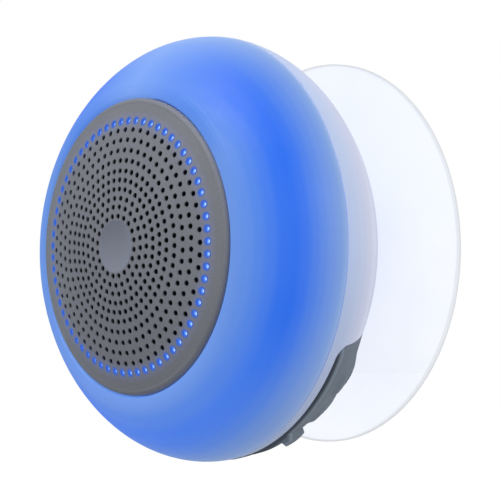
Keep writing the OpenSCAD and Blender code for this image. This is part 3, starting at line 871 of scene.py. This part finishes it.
def build_signs():
    """Small raised signs on the keys, plain generic shapes."""
    for name, shapes in SIGNS.items():
        verts, faces = [], []
        for shape in shapes:
            area = sum(a[0] * b[1] - b[0] * a[1] for a, b in zip(shape, shape[1:] + shape[:1]))
            shape = shape if area > 0 else shape[::-1]
            t, s = np.array(shape).T
            y = y_at(along(KEY_Y) + s)
            angle = KEYS[name] + np.degrees(t / shell_r(y))
            h = strip_height(angle, y)
            n = len(shape)
            first = len(verts)
            verts += list(over(angle, y, h + SIGN_RISE)) + list(over(angle, y, h - SIGN_SINK))
            faces.append([first + i for i in range(n)][::-1])
            faces.append([first + n + i for i in range(n)])
            for i in range(n):
                j = (i + 1) % n
                faces.append([first + i, first + j, first + n + j, first + n + i])
        sign = paint(make_object(name + "_sign", verts, faces, 20.0), "slate_key")
        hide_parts(name)
        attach(sign, name + "_cap")


# ---------------------------------------------------------------- port cover
TAB_AT = 4.95  # the pull tab's middle, from the lid's middle
TAB_BOX = (1.75, 2.9, 0.8)
TAB_HEIGHT = 2.08
PLUG_BOX = (3.9, 1.2, 1.15)


def port_grid(box, at_corner, between, rows):
    """Points (t, s) over a rectangle with round corners, the rows from -1 to 1."""
    half_t, half_s, corner = box
    ts = corner_steps(half_t, corner, at_corner, between)
    half = half_s - corner_cut(half_t - np.abs(ts), corner)
    return np.repeat(ts[:, None], len(rows), 1), half[:, None] * rows[None, :]


def port_piece(name, t, s, high, low):
    """A piece of the cover between two heights over the shell, at (t, s) from the port's middle."""
    angle = PORT_AT + np.degrees(t / shell_r(PORT_Y))
    y = y_at(along(PORT_Y) + s)
    every_cell = np.ones((t.shape[0] - 1, t.shape[1] - 1), bool)
    piece = solid(name, over(angle, y, high), over(angle, y, low), every_cell)
    paint(piece, "slate_silicone")
    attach(piece, "port_flap")
    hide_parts("port_cover")


def build_cover():
    """The charging port's cover: a soft lid with a small ribbed pull tab, and its plug behind."""
    rows = np.concatenate([[0, 0.012, 0.03], np.linspace(0.055, 0.945, 52), [0.97, 0.988, 1]])
    t, s = port_grid(LID_BOX, 8, 96, 2 * rows - 1)
    h = 0.32 + 0.56 * smooth(-7.4, 1.0, t) - 0.06 * smooth(5.0, 7.2, t)
    tab = -round_box(t - TAB_AT - 0.1, s, *TAB_BOX)
    h = h + smooth(-0.12, 0.5, tab) * (TAB_HEIGHT + 0.13 * (TAB_AT - t) - h)
    grip = np.abs(((t - TAB_AT) / 1.1 + 0.5) % 1 - 0.5)
    h = h - 0.12 * smooth(0.16, 0.05, grip) * smooth(0.5, 0.9, tab)
    # the lid's edge is round, but the hinge end stays nearly level with the strip and close to it
    edge = edge_fall(-round_box(t, s, *LID_BOX), 0.5) * (1 - 0.8 * smooth(-6.3, -6.9, t))
    h = h - edge * (h * 0.45 + 0.35)
    t = t - 0.23 * smooth(-6.0, -LID_BOX[0], t)
    port_piece("port_lid", t, s, h, -1.2)
    port_piece("port_plug", *port_grid(PLUG_BOX, 7, 24, np.linspace(-1, 1, 9)), -1.0, -3.5)


# ---------------------------------------------------------------- the speaker's soft rings
def build_soft_ring(node, profile, slot_name, count=16):
    """A ring between the basket and the cone, made of separate wedges."""
    for k in range(count):
        mid = 360 * (k + 0.5) / count
        wedge = turned(f"{node}_{k + 1}", profile, 12, mid - 180 / count, mid + 180 / count)
        paint(wedge, slot_name)
        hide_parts(node)
        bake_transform(wedge)


def build_surround():
    """The half-round rubber roll, with a flat border on each side."""
    mid_r = 17.6
    front = -9.3
    rear = -8.9
    turns = np.radians(np.linspace(180, 0, 25))
    outer = [(mid_r + 1.75 * math.cos(a), front - 1.75 * math.sin(a)) for a in turns]
    inner = [(mid_r + 1.35 * math.cos(a), front - 1.35 * math.sin(a)) for a in turns[::-1]]
    profile = [(15.5, rear), (15.5, front)] + outer + [(19.55, front), (19.55, rear), (18.95, rear)]
    profile = profile + inner + [(16.25, rear)]
    build_soft_ring("speaker_surround", profile, "surround_rubber")


def build_spider():
    """The waved cloth disc that centres the coil."""
    coil_r = 8.5
    basket_r = 13.15
    r = np.linspace(coil_r, basket_r, 60)
    wave = 0.36 * np.cos((r - 10) * math.pi / 0.8)
    middle = -1.86 + wave * smooth(coil_r, 9.2, r) * smooth(basket_r, 12.3, r)
    profile = list(zip(r, middle - 0.15)) + list(zip(r[::-1], middle[::-1] + 0.15))
    build_soft_ring("speaker_spider", profile, "spider_cloth")


build_strip()
build_signs()
build_cover()
build_surround()
build_spider()

# ---------------------------------------------------------------- studio, in metres
scene = bpy.context.scene
scene.view_settings.view_transform = "Standard"
scene.view_settings.look = "None"


def build_world():
    """A soft fill light all round, with plain white where the camera looks past the object."""
    world = bpy.data.worlds.new("studio")
    scene.world = world
    world.use_nodes = True
    tree = world.node_tree
    tree.nodes.clear()

    def background(colour, strength):
        node = tree.nodes.new("ShaderNodeBackground")
        node.inputs[0].default_value = colour
        node.inputs[1].default_value = strength
        return node.outputs[0]

    out = tree.nodes.new("ShaderNodeOutputWorld")
    mix = tree.nodes.new("ShaderNodeMixShader")
    path = tree.nodes.new("ShaderNodeLightPath")
    tree.links.new(path.outputs["Is Camera Ray"], mix.inputs[0])
    tree.links.new(background((0.97, 0.98, 1.0, 1), 0.36), mix.inputs[1])
    tree.links.new(background((1, 1, 1, 1), 1.0), mix.inputs[2])
    tree.links.new(mix.outputs[0], out.inputs[0])


def build_floor():
    """A white floor well below the object, clear when it is seen from below."""
    bpy.ops.mesh.primitive_circle_add(vertices=96, radius=25.0, fill_type="NGON", location=(0, 0, -0.13))
    floor = bpy.context.object
    floor.name = "floor"
    t = Tree("floor")
    seen = t.add("ShaderNodeLightPath").outputs["Is Camera Ray"]
    t.set(Base_Color=(0.5, 0.5, 0.51, 1), Roughness=0.9, Specular_IOR_Level=0.0,
        Emission_Color=(1, 1, 1, 1), Emission_Strength=t.times(seen, 0.84))
    backfacing = t.add("ShaderNodeNewGeometry").outputs["Backfacing"]
    clear = t.add("ShaderNodeBsdfTransparent").outputs[0]
    sides = t.add("ShaderNodeMixShader", i0=backfacing, i1=t.shader.outputs[0], i2=clear)
    t.put(t.out.inputs[0], sides.outputs[0])
    floor.data.materials.append(t.material)


def direction(azimuth, elevation):
    """Unit vector towards a place round the object, azimuth 0 in front of it."""
    a = math.radians(azimuth)
    e = math.radians(elevation)
    return Vector((math.sin(a) * math.cos(e), -math.cos(a) * math.cos(e), math.sin(e)))


def softbox(name, azimuth, elevation, distance, size, power, tint=(1, 1, 1)):
    """A round lamp that faces the object and isn't seen itself."""
    data = bpy.data.lights.new(name, "AREA")
    data.shape = "DISK"
    data.size = size
    data.energy = power
    data.color = tint
    ob = bpy.data.objects.new(name, data)
    scene.collection.objects.link(ob)
    towards = direction(azimuth, elevation)
    ob.location = Vector((0, SEAM, 0)) + towards * distance
    ob.rotation_euler = (-towards).to_track_quat("-Z", "Y").to_euler()
    ob.visible_camera = False


build_world()
build_floor()
softbox("key", azimuth=0, elevation=60, distance=1.2, size=0.7, power=10.5)
softbox("fill", azimuth=100, elevation=14, distance=1.4, size=0.9, power=5.5, tint=(0.97, 0.98, 1.0))

# ---------------------------------------------------------------- camera
CAMERA_AZIMUTH = 50.57
CAMERA_ELEVATION = -2.69
CAMERA_ROLL = -0.42
CAMERA_DISTANCE = 0.58  # metres from the middle of the seam
AIM_RIGHT = 1.073  # angles by which it looks past that middle
AIM_UP = 0.023


def build_camera():
    """The photo's camera, fitted to the outlines of the grille, body and cup."""
    back = direction(CAMERA_AZIMUTH, CAMERA_ELEVATION)
    azimuth = math.radians(CAMERA_AZIMUTH)
    level = Vector((math.cos(azimuth), math.sin(azimuth), 0))
    upright = back.cross(level)
    roll = math.radians(CAMERA_ROLL)
    right = level * math.cos(roll) + upright * math.sin(roll)
    up = upright * math.cos(roll) - level * math.sin(roll)
    ahead = (-back + right * math.radians(AIM_RIGHT) + up * math.radians(AIM_UP)).normalized()
    side = (right - ahead * right.dot(ahead)).normalized()
    data = bpy.data.cameras.new("camera")
    data.lens = 177.2
    data.sensor_width = 36.0
    data.clip_start = 0.01
    data.clip_end = 60
    cam = bpy.data.objects.new("camera", data)
    scene.collection.objects.link(cam)
    cam.location = Vector((0, SEAM, 0)) + back * CAMERA_DISTANCE
    cam.rotation_euler = Matrix((side, side.cross(ahead), -ahead)).transposed().to_euler()
    scene.camera = cam


build_camera()
